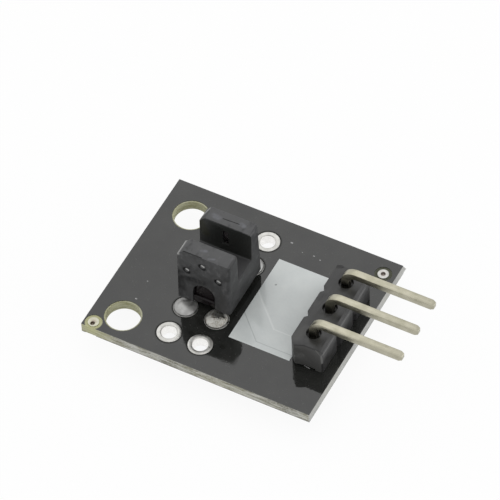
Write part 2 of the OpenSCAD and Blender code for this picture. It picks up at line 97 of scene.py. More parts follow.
camera_data = bpy.data.cameras.new("camera")
camera_data.lens = LENS
camera_data.sensor_width = SENSOR_WIDTH
camera = bpy.data.objects.new("camera", camera_data)
camera.location = Vector(CAMERA_AT) * MM
camera.rotation_euler = [radians(turn) for turn in CAMERA_TURN]
bpy.context.scene.collection.objects.link(camera)
bpy.context.scene.camera = camera
bpy.context.scene.view_settings.view_transform = "Standard"
print("camera in mm:", CAMERA_AT, "lens:", LENS)

# %% [markdown]
# ### Nodes
# The floor, the light and every finish are built of nodes. Three small helpers keep that readable: one
# feeds a socket, one does a sum, and one tells the rays that see the background from those that carry
# soft light.

# %% Helpers for node trees


def feed(tree, socket, value):
    """Gives a socket a link from another node or, if the value isn't a socket, the value itself."""
    if isinstance(value, bpy.types.NodeSocket):
        tree.links.new(value, socket)
    else:
        socket.default_value = value


def math(tree, operation, a, b):
    """One sum in a node tree; a and b are sockets or numbers."""
    node = tree.nodes.new("ShaderNodeMath")
    node.operation = operation
    feed(tree, node.inputs[0], a)
    feed(tree, node.inputs[1], b)
    return node.outputs[0]


def sees_background(tree):
    """1 for camera, glossy and transmitted rays, 0 for the rays that carry soft light."""
    rays = tree.nodes.new("ShaderNodeLightPath").outputs
    mirrored = math(tree, "MAXIMUM", rays["Is Glossy Ray"], rays["Is Transmission Ray"])
    return math(tree, "MAXIMUM", rays["Is Camera Ray"], mirrored)


# %% [markdown]
# ### Floor
# The floor is white paper. A camera ray sees most of its white as it is and a little of its real
# shading, which leaves a soft shadow, as in a picture on a light table. Rays that bounce off shiny metal
# see the same white, because the metal mirrors the background. All other rays meet ordinary white
# paper, so the light that it throws back on the module is right.

# %% Floor
FLOOR_SIDE = 3.0
FLOOR_GLOW = 0.92
PAPER_WHITE = (0.9, 0.9, 0.9, 1)


def deselect_all():
    """Leaves edit mode and selects nothing, so that an operator acts only on what is meant."""
    if bpy.context.object and bpy.context.object.mode != "OBJECT":
        bpy.ops.object.mode_set(mode="OBJECT")
    bpy.ops.object.select_all(action="DESELECT")


deselect_all()
bpy.ops.mesh.primitive_plane_add(size=FLOOR_SIDE, location=(0, 0, cad_box[0].z))
floor = bpy.context.object
floor.name = "floor"
paper = bpy.data.materials.new("white_paper")
paper.use_nodes = True
tree = paper.node_tree
diffuse = tree.nodes["Principled BSDF"]
diffuse.inputs["Base Color"].default_value = PAPER_WHITE
diffuse.inputs["Roughness"].default_value = 0.9
diffuse.inputs["Specular IOR Level"].default_value = 0.1
glow = tree.nodes.new("ShaderNodeEmission")
mix = tree.nodes.new("ShaderNodeMixShader")
feed(tree, mix.inputs[0], math(tree, "MULTIPLY", sees_background(tree), FLOOR_GLOW))
feed(tree, mix.inputs[1], diffuse.outputs[0])
feed(tree, mix.inputs[2], glow.outputs[0])
feed(tree, tree.nodes["Material Output"].inputs["Surface"], mix.outputs[0])
floor.data.materials.append(paper)
print("floor at z in mm:", round(floor.location.z / MM, 2))

# %% [markdown]
# ## Light
# The photo has the soft light of a white tent with two softboxes. The large one stands behind and to the
# left, high up. The shiny board mirrors it towards the camera, which is why the black film looks grey,
# and why whatever stands on the board shows as a dark mirror image in it. It also gives the faint shadow
# of the towers on the printed panel. The second one is a strip that stands low on the right: it
# brightens the right faces, puts a bright line on each chamfer that looks at it, and the small nubs on
# the sensor throw their shadows level to the left.

# %% World and softboxes
WORLD_LIGHT = 0.88
WORLD_SEEN = 1.0
AIM = Vector((8, 0, 0)) * MM

world = bpy.data.worlds.new("tent")
bpy.context.scene.world = world
world.use_nodes = True
tree = world.node_tree
tent = tree.nodes["Background"]
tent.inputs["Color"].default_value = (1, 1, 1, 1)
level = tree.nodes.new("ShaderNodeMapRange")
level.inputs["To Min"].default_value = WORLD_LIGHT
level.inputs["To Max"].default_value = WORLD_SEEN
feed(tree, level.inputs["Value"], sees_background(tree))
feed(tree, tent.inputs["Strength"], level.outputs["Result"])


def softbox(name, towards, distance, width, height, radiance):
    """A square-cornered lamp that looks at the module; radiance is how bright its face looks."""
    data = bpy.data.lights.new(name, "AREA")
    data.shape = "RECTANGLE"
    data.size = width
    data.size_y = height
    data.energy = radiance * pi * width * height
    lamp = bpy.data.objects.new(name, data)
    place = Vector(towards).normalized()
    lamp.location = place * distance + AIM
    lamp.rotation_euler = place.to_track_quat("Z", "Y").to_euler()
    bpy.context.scene.collection.objects.link(lamp)
    print(name, "lamp at", [round(v, 2) for v in lamp.location])


softbox("softbox_behind", towards=(-0.36, 0.46, 0.81), distance=0.6,
        width=0.5, height=0.5, radiance=0.45)
softbox("strip_light_right", towards=(0.91, 0.24, 0.29), distance=0.7,
        width=0.6, height=0.25, radiance=2.3)

# %% [markdown]
# ## Finishes
# Every finish starts from a Principled shader. What differs from place to place, such as grain, haze or
# scratches, comes from noise read on Object coordinates, so a pattern has its real size in millimetres
# wherever it is used. Small helpers keep the recipes short.

# %% Start a finish


def start_finish(name, colour, roughness, metallic=0.0, ior=1.5, level=0.5):
    """A new material; returns it, its node tree and its shader."""
    material = bpy.data.materials.new(name)
    material.use_nodes = True
    tree = material.node_tree
    shader = tree.nodes["Principled BSDF"]
    shader.inputs["Base Color"].default_value = (*colour, 1)
    shader.inputs["Roughness"].default_value = roughness
    shader.inputs["Metallic"].default_value = metallic
    shader.inputs["IOR"].default_value = ior
    shader.inputs["Specular IOR Level"].default_value = level
    return material, tree, shader


# %% [markdown]
# One helper adds noise with a known number of blotches in a millimetre. Noise seldom leaves the middle
# of its range, so a second helper takes the part that is wanted and spreads it over a range of numbers.

# %% Grain, and its range


def grain(tree, per_mm, detail=4.0, stretch=(1, 1, 1), seed=(0, 0, 0), rough=0.5):
    """Noise with so many blotches in a millimetre, from 0 to 1."""
    place = tree.nodes.new("ShaderNodeTexCoord")
    turn = tree.nodes.new("ShaderNodeMapping")
    turn.inputs["Scale"].default_value = [s * per_mm / MM for s in stretch]
    turn.inputs["Location"].default_value = seed
    cloud = tree.nodes.new("ShaderNodeTexNoise")
    cloud.inputs["Scale"].default_value = 1.0
    cloud.inputs["Detail"].default_value = detail
    cloud.inputs["Roughness"].default_value = rough
    feed(tree, turn.inputs["Vector"], place.outputs["Object"])
    feed(tree, cloud.inputs["Vector"], turn.outputs["Vector"])
    return cloud.outputs["Fac"]


def spread(tree, value, low, high, start=0.35, end=0.65):
    """Stretches a part of a noise over a range of numbers."""
    node = tree.nodes.new("ShaderNodeMapRange")
    node.inputs["From Min"].default_value = start
    node.inputs["From Max"].default_value = end
    node.inputs["To Min"].default_value = low
    node.inputs["To Max"].default_value = high
    feed(tree, node.inputs["Value"], value)
    return node.outputs["Result"]


# %% [markdown]
# Two more helpers use such a number: one mixes two colours by it, and one raises the surface by it. The
# height is in millimetres, so a bump is as high as on the real surface.

# %% Blend and bump


def blend(tree, value, colour_a, colour_b):
    """Goes from one colour to another as the value goes from 0 to 1."""
    node = tree.nodes.new("ShaderNodeMix")
    node.data_type = "RGBA"
    for socket, colour in ((node.inputs[6], colour_a), (node.inputs[7], colour_b)):
        is_link = isinstance(colour, bpy.types.NodeSocket)
        feed(tree, socket, colour if is_link else (*colour, 1))
    feed(tree, node.inputs[0], value)
    return node.outputs[2]


def bump(tree, shader, value, height_mm, under=None):
    """Raises the surface by the value times a height; returns the node's normal."""
    node = tree.nodes.new("ShaderNodeBump")
    node.inputs["Strength"].default_value = 1.0
    node.inputs["Distance"].default_value = height_mm * MM
    feed(tree, node.inputs["Height"], value)
    if under is not None:
        feed(tree, node.inputs["Normal"], under)
    feed(tree, shader.inputs["Normal"], node.outputs["Normal"])
    return node.outputs["Normal"]


# %% [markdown]
# ### Marks
# Some marks have their own place: a speck of dust on the film, a hairline on the sensor. Each is a thin
# line between two points. The helper measures how far a point of the surface is from that line: it
# drops the point onto the line, keeps the foot between the two ends, and takes the distance to it. A
# short upright line colours a round place on the board. Rubs and grease don't cover all of their place,
# so a noise with a sharp step makes them ragged.

# %% Helpers for marks


def vector_math(tree, operation, a, b):
    """One sum with vectors; returns the node's outputs, since sums differ in what they give."""
    node = tree.nodes.new("ShaderNodeVectorMath")
    node.operation = operation
    feed(tree, node.inputs[0], a)
    feed(tree, node.inputs["Scale" if operation == "SCALE" else 1], b)
    return node.outputs


def marks(tree, lines):
    """1 on each line (from, to, half width, in mm) and 0 off it, with a soft edge."""
    place = tree.nodes.new("ShaderNodeTexCoord").outputs["Object"]
    total = 0.0
    for start, end, half_width in lines:
        run = (Vector(end) - Vector(start)) * MM
        way = run.normalized()
        rest = vector_math(tree, "SUBTRACT", place, Vector(start) * MM)[0]
        foot = vector_math(tree, "DOT_PRODUCT", rest, way)["Value"]
        foot = math(tree, "MINIMUM", math(tree, "MAXIMUM", foot, 0.0), run.length)
        back = vector_math(tree, "SCALE", way, foot)[0]
        off = vector_math(tree, "DISTANCE", rest, back)["Value"]
        near = spread(tree, off, 1, 0, half_width * MM * 0.5, half_width * MM * 1.2)
        total = math(tree, "MAXIMUM", near, total)
    return total


def smears(tree, lines):
    """Marks that cover their place only in part, as rubs and grease do."""
    cover = grain(tree, 3.0, 4, seed=(6, 6, 2), rough=0.65)
    return math(tree, "MULTIPLY", marks(tree, lines), spread(tree, cover, 0.35, 1, 0.4, 0.58))


def upright(at, low, high, half_width):
    """A mark that stands on a place of the board, from one height to another."""
    return (*at, low), (*at, high), half_width


# %% [markdown]
# ### Masks
# Faces that look up are made paler, and the slot gets painted shade, darker than the outside.
# One helper tells how far a face looks up, and one whether a point lies in a box. The third lays
# colours over a tone, one after the other, each where its mask is 1.

# %% Helpers for masks


def looking_up(tree, start, end):
    """0 on walls and 1 on faces that look up."""
    place = tree.nodes.new("ShaderNodeTexCoord")
    parts = tree.nodes.new("ShaderNodeSeparateXYZ")
    feed(tree, parts.inputs[0], place.outputs["Normal"])
    return spread(tree, parts.outputs["Z"], 0, 1, start, end)


def inside(tree, box):
    """1 at points between two corners of a box (in mm) and 0 elsewhere."""
    place = tree.nodes.new("ShaderNodeTexCoord")
    parts = tree.nodes.new("ShaderNodeSeparateXYZ")
    feed(tree, parts.inputs[0], place.outputs["Object"])
    total = 1.0
    for along, low, high in zip(parts.outputs, *box):
        above = math(tree, "GREATER_THAN", along, low * MM)
        below = math(tree, "LESS_THAN", along, high * MM)
        total = math(tree, "MULTIPLY", math(tree, "MULTIPLY", above, below), total)
    return total


def touched_up(tree, tone, touches):
    """Lays colours over a tone; each touch is a mask, how far it covers, and its colour."""
    for mask, cover, colour in touches:
        tone = blend(tree, math(tree, "MULTIPLY", mask, cover), tone, colour)
    return tone


# %% [markdown]
# ### Laminate
# The board is glass cloth in resin. On a sawn edge the layers of cloth show as thin streaks, grey where
# the glass is cut and olive where there is resin. Noise that is drawn out along the board and squeezed
# in height gives the streaks; a finer noise gives the chalky fibres. Where a drill went through, and
# in the bare ring round the front corner's pad, the resin itself shows, more yellow. The board's right
# end is greyer than its sides. The bare ring at the back corner lies in the shade of its film, and so
# does the thin gap round each ring of tin beside the sensor, which looks nearly black.

# %% Laminate
DRILLED = [upright(at, 0, FILM_TOP, 1.5) for at in MOUNTING_HOLES]
DRILLED += [upright(FRONT_PAD, 0.8, FILM_TOP, 0.75)]
YELLOWED = [((-2.4, -7.15, 0.6), (-1.4, -7.15, 0.6), 1.6)]
SHADED_RING = [upright(REAR_PAD, 0.8, FILM_TOP, 1.1)]
RIMS = [upright(at, 0.8, FILM_TOP, 0.9) for at in SPARE_PLACES + LEAD_PLACES]
END_FACE = ((16.05, -8, 0), (17, 8.4, 0.95))
CUT_GLASS = ((0.13, 0.125, 0.09), (0.49, 0.49, 0.455))
RESIN = (0.43, 0.41, 0.275)
YELLOW_RESIN = (0.46, 0.46, 0.23)
CHALK = (0.64, 0.64, 0.61)


def make_laminate():
    material, tree, shader = start_finish("sawn_laminate", (0.4, 0.39, 0.3), 0.75, level=0.3)
    layers = grain(tree, 1.0, 6, stretch=(0.8, 0.8, 7), seed=(3, 1, 0), rough=0.6)
    patches = grain(tree, 0.35, 3, seed=(7, 7, 7))
    fibres = grain(tree, 9.0, 3, stretch=(1, 1, 1.6))
    streak = blend(tree, spread(tree, layers, 0, 1, 0.41, 0.6), *CUT_GLASS)
    warm = blend(tree, spread(tree, patches, 0, 0.5), streak, RESIN)
    pale = blend(tree, spread(tree, fibres, 0, 0.6, 0.5, 0.68), warm, CHALK)
    tone = touched_up(tree, pale, [
        (marks(tree, DRILLED), 1.0, YELLOW_RESIN),
        (marks(tree, YELLOWED), 0.45, (0.45, 0.45, 0.24)),
        (marks(tree, SHADED_RING), 1.0, (0.07, 0.074, 0.05)),
        (spread(tree, marks(tree, RIMS), 0, 1, 0, 0.2), 1.0, (0.02, 0.02, 0.016)),
        (inside(tree, END_FACE), 0.6, (0.42, 0.425, 0.43)),
    ])
    feed(tree, shader.inputs["Base Color"], tone)
    feed(tree, shader.inputs["Roughness"], spread(tree, fibres, 0.6, 0.9))
    bump(tree, shader, fibres, 0.012)
    return material


# %% [markdown]
# ### Black film
# Solder mask is a thin black lacquer. It is glossy, but never perfect: handling leaves a haze and the
# film is faintly wavy over the copper. Two slow noises, one on the roughness and one as a very low
# bump, keep its mirror images soft and a little uneven. At the openings round the tin its edge turns
# down and mirrors nothing bright, so it loses its gloss there. A few specks of dust lie on it, and in
# front of the header a short painted highlight stands for light glinting through the gap under its foot.

# %% Black film
SPECKS = [((7.81, 6.17), 0.07), ((9.84, 5.78), 0.05), ((10.41, 5.64), 0.045),
          ((8.93, 5.71), 0.03), ((0.06, -3.42), 0.06), ((0.05, -1.64), 0.04)]
DUST_AND_GLINT = [((x, y, FILM_TOP), (x + size, y, FILM_TOP), size) for (x, y), size in SPECKS]
# A painted glint in front of the header, under the gap at its front foot.
DUST_AND_GLINT += [((13.79, -3.4, FILM_TOP), (14.24, -3.47, FILM_TOP), 0.04)]
DUST = (0.3, 0.3, 0.29)


def make_black_film():
    material, tree, shader = start_finish("black_film", (0.016, 0.0165, 0.015), 0.06, ior=1.6)
    haze = grain(tree, 0.5, 5, seed=(2, 5, 1), rough=0.6)
    dust = grain(tree, 6.0, 2, seed=(9, 0, 4))
    tint = blend(tree, spread(tree, haze, 0, 1), (0.012, 0.0125, 0.0115), (0.02, 0.0205, 0.0185))
    tone = blend(tree, spread(tree, dust, 0, 0.12, 0.66, 0.8), tint, DUST)
    # Pale specks of dust, and the painted glint in front of the header.
    tone = touched_up(tree, tone, [(marks(tree, DUST_AND_GLINT), 0.5, (0.6, 0.6, 0.6))])
    gloss = spread(tree, marks(tree, RIMS), 0.5, 0.06, 0, 0.2)
    feed(tree, shader.inputs["Base Color"], tone)
    feed(tree, shader.inputs["Roughness"], spread(tree, haze, 0.03, 0.11))
    feed(tree, shader.inputs["Specular IOR Level"], gloss)
    waves = grain(tree, 0.35, 2, seed=(1, 1, 8))
    ripples = grain(tree, 2.2, 2, seed=(4, 1, 3))
    normal = bump(tree, shader, waves, 0.004)
    bump(tree, shader, ripples, 0.0035, under=normal)
    return material


# %% [markdown]
# ### Printed ink
# The panel between sensor and header is a plain rectangle of pale ink, printed on the film. Ink is a
# little glossy too. The cloth under it leaves a faint weave, and the ink's tone drifts slightly. Along
# the edges of a copper track under it, a dark and a pale line are painted: painted shade on the edge
# that faces the front and a painted highlight on the edge that faces the light behind. Each edge comes
# down aslant, where x + y is a fixed number, and then turns level.

# %% Printed ink
PANEL = ((7.72, -3.53, FILM_TOP), (12.64, 4.42, 0.92))
BAND_ASLANT = (6.68, 8.85)
BAND_LEVEL = (-3.03, -1.5)


def band_edge(total, y, half_widths):
    """Two marks: aslant from the panel's left side, then level from the bend to its right side."""
    left, right, top = PANEL[0][0], PANEL[1][0], PANEL[1][2]
    bend = (total - y, y, top)
    return [((left, total - left, top), bend, half_widths[0]),
            (bend, (right, y, top), half_widths[1])]


# Painted shade along the band's front edge, and a painted highlight along its back edge.
BAND_EDGE_SHADE = band_edge(BAND_ASLANT[0], BAND_LEVEL[0], (0.04, 0.035))
BAND_EDGE_HIGHLIGHT = band_edge(BAND_ASLANT[1], BAND_LEVEL[1], (0.08, 0.06))
INK_SPECK = [((8.58, 2.17, 0.92), (8.62, 2.2, 0.92), 0.07)]
PALE_INK = (0.6, 0.63, 0.62)


def make_printed_ink():
    material, tree, shader = start_finish("printed_ink", PALE_INK, 0.16)
    cloudy = grain(tree, 0.6, 4, seed=(4, 4, 4))
    weave = grain(tree, 7.0, 3, seed=(6, 2, 0))
    tone = blend(tree, spread(tree, cloudy, 0, 1), (0.55, 0.58, 0.575), PALE_INK)
    tone = blend(tree, spread(tree, weave, 0, 0.25), tone, (0.64, 0.66, 0.65))
    tone = touched_up(tree, tone, [
        # Painted shade and a painted highlight on the band's two edges, then a real speck.
        (marks(tree, BAND_EDGE_SHADE), 0.55, (0.3, 0.32, 0.32)),
        (marks(tree, BAND_EDGE_HIGHLIGHT), 0.6, (0.72, 0.74, 0.73)),
        (marks(tree, INK_SPECK), 0.7, (0.12, 0.13, 0.13)),
    ])
    feed(tree, shader.inputs["Base Color"], tone)
    feed(tree, shader.inputs["Roughness"], spread(tree, cloudy, 0.12, 0.24))
    bump(tree, shader, weave, 0.0015)
    return material


# %% [markdown]
# ### Metals
# Tin, solder and gold flash are all metals with a patchy tone and fine ripples, so one recipe serves
# for all three. Drawn wire has its scratches along the wire, which a stretched noise gives. Tin is
# painted brighter in a bore than on top of its ring: a painted highlight for the white floor that the
# bore mirrors. Two places have a colour of their own: the copper that shows down in each via, and the
# old yellowish tin of the front corner's pad. The foot of each pin is painted darker, as painted shade
# where it stands in the shade of the header.

# %% Metals
VIAS = [upright(FRONT_PAD, 0.0, 0.8, 0.24), upright(REAR_PAD, 0.0, 0.84, 0.22)]
OLD_TIN = [upright(FRONT_PAD, 0.9, 0.95, 0.6)]
# Painted shade: the foot of each pin is darkened where the header shades it.
PIN_FEET_SHADE = [upright((x, y - 0.27), 3.0, 3.5, 0.5) for x, y in PIN_PLACES]


def make_metal(name, colour, dark, roughness, ripple_per_mm, ripple_mm,
               stretch=(1, 1, 1), walls=None, zones=()):
    """A plated metal: patchy in colour and roughness, with ripples of a known height."""
    material, tree, shader = start_finish(name, colour, roughness, metallic=1.0)
    patches = grain(tree, 1.6, 4)
    ripples = grain(tree, ripple_per_mm, 3, stretch=stretch)
    tone = blend(tree, spread(tree, patches, 0, 1), dark, colour)
    # Faces that don't look up take the walls colour: a painted highlight, used for the bright bores of
    # the tin.
    if walls:
        tone = blend(tree, looking_up(tree, 0.1, 0.5), walls, tone)
    tone = touched_up(tree, tone, [(marks(tree, lines), 1.0, zone) for lines, zone in zones])
    feed(tree, shader.inputs["Base Color"], tone)
    rough = spread(tree, ripples, roughness * 0.8, roughness * 1.3)
    feed(tree, shader.inputs["Roughness"], rough)
    bump(tree, shader, ripples, ripple_mm)
    return material


# %% [markdown]
# Solder that froze coarse is different: its crystals make tiny facets, which a Voronoi noise gives, and
# between the facets that catch the light there is a dark speckle.

# %% Frosty solder
FACETS_PER_MM = 9.0


def make_frosty_solder():
    material, tree, shader = start_finish("frosty_solder", (0.4, 0.4, 0.38), 0.35, metallic=1.0)
    place = tree.nodes.new("ShaderNodeTexCoord")
    cells = tree.nodes.new("ShaderNodeTexVoronoi")
    cells.inputs["Scale"].default_value = FACETS_PER_MM / MM
    feed(tree, cells.inputs["Vector"], place.outputs["Object"])
    patches = grain(tree, 2.0, 5, seed=(5, 5, 1))
    speckle = grain(tree, 7.0, 3, seed=(2, 8, 5), rough=0.6)
    tone = blend(tree, spread(tree, patches, 0, 1), (0.24, 0.235, 0.21), (0.52, 0.52, 0.49))
    tone = blend(tree, spread(tree, speckle, 0, 0.7, 0.5, 0.64), tone, (0.2, 0.17, 0.13))
    feed(tree, shader.inputs["Base Color"], tone)
    feed(tree, shader.inputs["Roughness"], spread(tree, patches, 0.2, 0.42))
    bump(tree, shader, cells.outputs["Distance"], 0.02)
    return material


# %% [markdown]
# ### Where the housing differs
# The housing is moulded in black plastic. Its outer walls lean in by a small draft, which lets the
# moulding leave its mould. The slot, the pockets behind the windows and the slit for the light get
# painted shade, since light hardly reaches them; the slot's floor is painted a little paler than the
# slot, and a dull olive painted reflection sits at the slot's left end.

# %% Places on the housing that light hardly reaches
SLOT = ((2, -0.7, 3.95), (8, 1.5, 6.5))
SLOT_FLOOR = ((2, -0.7, 3.8), (8, 1.4, 3.95))
# A painted reflection: a dull olive patch at the slot's left end.
SLOT_REFLECTION = [((3.0, 1.42, 6.1), (3.4, 1.4, 5.0), 0.4)]
SLIT = ((4.7, 1.46, 3.9), (5.35, 1.6, 6.1))
POCKETS = [((3.2, -1.85, 0.9), (6.9, -0.8, 6.3)), ((3.2, 1.5, 0.9), (6.9, 2.55, 6.3))]
WINDOWS = [((4.14, -2.13, 0.9), (5.92, -1.8, 2.65)), ((4.14, 2.5, 0.9), (5.92, 2.83, 2.65))]

# %% [markdown]
# Hands and wear leave hairlines and bluish rubs on top, and greasy smudges on the walls; the smudge low
# at the front's left is partly grease and partly painted shade, where the face mirrors the dark board.
# Pale painted highlights run along the chamfers at the left. Each of the three nubs on the front has a
# painted highlight above, where the light meets it, and painted shade below; the nubs stand on the
# leaning wall, so their depth follows its draft.

# %% Places on the housing that are worn, and its painted highlights and shade
HOUSING_TOP = 6.6
FRONT_FACE = -2.15
REAR_FACE = 2.85
DRAFT = radians(2.5)
DRAFT_FROM = 1.4
HAIRLINES = [((4.6, 1.98, HOUSING_TOP), (5.9, 2.03, HOUSING_TOP), 0.03),
             ((3.46, -1.9, HOUSING_TOP), (4.9, -1.89, HOUSING_TOP), 0.035)]
NUBS = [(x, FRONT_FACE + (z - DRAFT_FROM) * DRAFT, z)
        for x, z in ((5.03, 5.8), (3.76, 4.8), (6.3, 4.8))]
# Painted shade under each nub, where its shadow falls.
NUB_SHADES = [((x - 0.17, y - 0.03, z - 0.14), (x + 0.02, y - 0.13, z - 0.27), 0.25)
             for x, y, z in NUBS]
# A painted highlight on the upper side of each nub.
NUB_GLINTS = [((x - 0.06, y - 0.13, z + 0.2), (x + 0.22, y - 0.13, z + 0.08), 0.05)
              for x, y, z in NUBS]
# Painted highlights along the left chamfers of both towers.
CHAMFER_HIGHLIGHTS = [((2.97, -2.1, 6.14), (2.98, -0.72, 6.15), 0.17),
              ((2.97, 1.95, 6.14), (3.24, 2.65, 6.42), 0.08)]
RUBBED_TOP = [((3.9, 1.95, HOUSING_TOP), (4.3, 1.9, HOUSING_TOP), 0.24),
              ((6.0, 2.1, HOUSING_TOP), (6.3, 2.0, HOUSING_TOP), 0.2),
              ((5.4, -1.75, HOUSING_TOP), (5.8, -1.6, HOUSING_TOP), 0.09),
              ((4.6, -1.3, HOUSING_TOP), (4.9, -1.2, HOUSING_TOP), 0.14)]
# Greasy smudges; the first, low at the front's left, is partly painted shade where the face mirrors the
# dark board.
SMUDGES_AND_SHADE = [((3.05, -2.02, 4.3), (3.2, -2.1, 2.5), 0.4),
           ((3.5, -2.05, 3.75), (5.0, -2.04, 3.95), 0.28),
           ((7.13, -0.2, 5.6), (7.13, 0.4, 4.6), 0.3),
           ((3.2, 1.5, 6.37), (3.25, 2.1, 6.42), 0.22)]

# %% [markdown]
# Each zone is a helper, the place that it takes, its colour and its roughness. Later zones lie over
# earlier ones, and the painted highlights come last.

# %% Zones of the housing
UNLIT = (0.007, 0.007, 0.007)
# Painted shade where light hardly reaches: the pockets, windows, slot, slit and slot floor.
HOUSING_ZONES = [(inside, box, UNLIT, 0.5) for box in POCKETS + WINDOWS]
HOUSING_ZONES += [
    (inside, SLOT, (0.017, 0.018, 0.0165), 0.5),
    (inside, SLIT, (0.045, 0.045, 0.045), 0.5),
    (marks, SLOT_REFLECTION, (0.014, 0.0145, 0.008), 0.5),
    (smears, RUBBED_TOP, (0.125, 0.128, 0.139), 0.5),
    (smears, SMUDGES_AND_SHADE, (0.009, 0.009, 0.0095), 0.5),
    (marks, NUB_SHADES, (0.004, 0.004, 0.004), 0.3),
    (inside, SLOT_FLOOR, (0.04, 0.04, 0.041), 0.5),
    (marks, CHAMFER_HIGHLIGHTS, (0.28, 0.28, 0.275), 0.5),
    (marks, NUB_GLINTS, (0.38, 0.38, 0.37), 0.4),
]

# %% [markdown]
# ### Where the header differs
# The header's strip is scuffed on top of its front segment and has a painted highlight along the upper
# right edge of each segment, where the light from the right catches it. At the front it was snapped off
# a longer strip, and the broken web is rough and whitened. One small chip is out of its top at the back.

# %% Places and zones of the header
HEADER_TOP = 3.42
SCUFFS = [((13.0, -3.1, HEADER_TOP), (13.3, -2.1, HEADER_TOP), 0.4)]
CHIPPED = [((12.8, 3.92, HEADER_TOP), (13.1, 4.05, HEADER_TOP), 0.13)]
# A painted highlight along the upper right edge of each segment.
HEADER_EDGE_HIGHLIGHTS = [((15.26, y - 1.17, 2.95), (15.26, y + 0.48, 2.95), 0.075) for x, y in PIN_PLACES]
BROKEN_WEB = ((12.6, -3.8, 0.9), (15.2, -3.44, 3.3))
SNAPPED = [((15.24, -3.4, 2.0), (15.2, -3.42, 2.8), 0.09),
           ((15.2, -3.42, 2.8), (14.8, -3.44, 3.3), 0.07)]
HEADER_ZONES = [
    (marks, SCUFFS, (0.05, 0.05, 0.048), 0.45),
    (marks, HEADER_EDGE_HIGHLIGHTS, (0.1, 0.1, 0.098), 0.45),
    (inside, BROKEN_WEB, (0.055, 0.055, 0.053), 0.6),
    (marks, SNAPPED, (0.1, 0.1, 0.097), 0.6),
]

# %% [markdown]
# ### Plastics and ceramic
# A moulding has a fine grain, soft patches, pale rubs, darker greasy places, and faces that look up are
# made paler. Over that come its zones, and hairlines that are dark and a little sunk. Much of the grey
# of black plastic is light mirrored off its skin, so a place that has to stay really dark loses its
# gloss too. The same recipe in white serves for the ceramic of the chip resistors.

# %% Mouldings
HAIRLINE_DARK = (0.004, 0.004, 0.004)
HAIRLINE_MM = 0.05


def make_moulding(name, colour, pale, roughness, grain_mm, seed,
                  level=0.5, lines=(), zones=(), shaded=()):
    """A matt moulding; lines are its hairlines, and shaded are the marks that lose their gloss."""
    material, tree, shader = start_finish(name, colour, roughness, level=level)
    fine = grain(tree, 14.0, 3, seed=seed)
    patches = grain(tree, 0.9, 5, seed=seed, rough=0.65)
    rubs = grain(tree, 2.2, 6, stretch=(1, 0.5, 0.7), seed=seed, rough=0.7)
    grease = grain(tree, 1.3, 4, stretch=(1, 0.6, 1), seed=(seed[0] + 3, *seed[1:]), rough=0.6)
    tone = blend(tree, spread(tree, patches, 0, 0.6), colour, pale)
    tone = blend(tree, looking_up(tree, 0.8, 0.97), tone, pale)
    tone = blend(tree, spread(tree, rubs, 0, 0.8, 0.52, 0.72), tone, [c * 1.35 for c in pale])
    tone = blend(tree, spread(tree, grease, 0, 0.7, 0.55, 0.7), tone, [c * 0.6 for c in colour])
    rough = spread(tree, patches, roughness - 0.08, roughness + 0.1)
    for helper, place, zone_colour, zone_roughness in zones:
        mask = helper(tree, place)
        tone = blend(tree, mask, tone, zone_colour)
        off = math(tree, "SUBTRACT", 1.0, mask)
        rough = math(tree, "ADD", math(tree, "MULTIPLY", mask, zone_roughness),
                     math(tree, "MULTIPLY", off, rough))
    normal = bump(tree, shader, fine, grain_mm)
    normal = bump(tree, shader, rubs, grain_mm, under=normal)
    if lines:
        tone = blend(tree, marks(tree, lines), tone, HAIRLINE_DARK)
        bump(tree, shader, marks(tree, lines), -HAIRLINE_MM, under=normal)
    if shaded:
        gloss = spread(tree, marks(tree, shaded), level, 0.0, 0, 0.6)
        feed(tree, shader.inputs["Specular IOR Level"], gloss)
    feed(tree, shader.inputs["Base Color"], tone)
    feed(tree, shader.inputs["Roughness"], rough)
    return material


# %% [markdown]
# ### Resin and glaze
# The packages inside the housing are cast in dark resin that lets infrared light through, so they are
# smooth, with faint flow marks. The black glaze of the chip resistors is as smooth.

# %% Resin


def make_resin(name, colour, seed, level=0.5):
    material, tree, shader = start_finish(name, colour, 0.2, ior=1.55, level=level)
    flow = grain(tree, 1.5, 3, stretch=(1, 1, 0.4), seed=seed)
    tone = blend(tree, spread(tree, flow, 0, 1), [c * 0.6 for c in colour], colour)
    feed(tree, shader.inputs["Base Color"], tone)
    feed(tree, shader.inputs["Roughness"], spread(tree, flow, 0.14, 0.3))
    bump(tree, shader, flow, 0.004)
    return material


# %% [markdown]
# ### All finishes
# The record names a slot for each node. Each slot gets its finish here, and every node is given the
# finish of its slot. The laminate, the two films and the solder of the chip resistors keep their CAD
# mesh and need no more than this; the other pieces are rebuilt or softened below.

